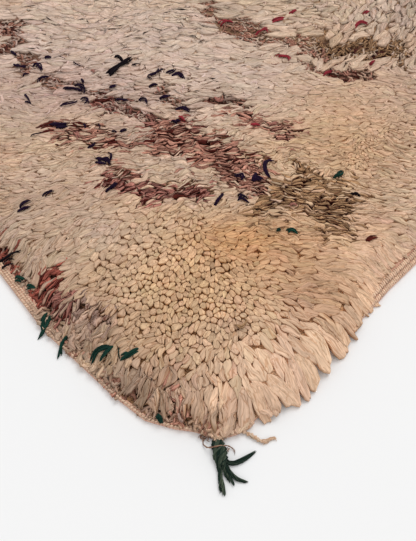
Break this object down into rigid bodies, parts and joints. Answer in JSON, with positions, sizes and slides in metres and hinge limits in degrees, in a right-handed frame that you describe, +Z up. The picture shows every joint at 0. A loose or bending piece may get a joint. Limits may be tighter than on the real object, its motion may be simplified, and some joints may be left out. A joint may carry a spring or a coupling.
{
  "type": "azilal runner rug",
  "caption": "Hand-knotted shag runner with an undyed wool pile, brown zigzag bands, stray dyed knots and a small tassel at one corner.",
  "frame": {"origin": "middle of the flat underside, on the floor", "axes": "+Z up out of the pile, +Y along the runner's length away from the tassel's end, +X across its width towards the tassel's side"},
  "size_m": [0.9533, 2.4106, 0.0272],
  "materials": {
    "pile_wool": "thick undyed wool pile, matt",
    "brown_wool": "brown and madder wool pile, matt",
    "accent_wool": "dyed yarn knots in purple, red and green, matt",
    "ground_weave": "woven wool ground, selvedge and end strip, matt",
    "green_yarn": "dark green wool yarn, matt",
    "undyed_yarn": "undyed wool yarn, matt"
  },
  "bodies": {
    "root": {"runner": "pile_wool", "corner_tassel": "green_yarn", "tassel_tie": "undyed_yarn", "selvedge_cord_end": "undyed_yarn"}
  },
  "joints": []
}
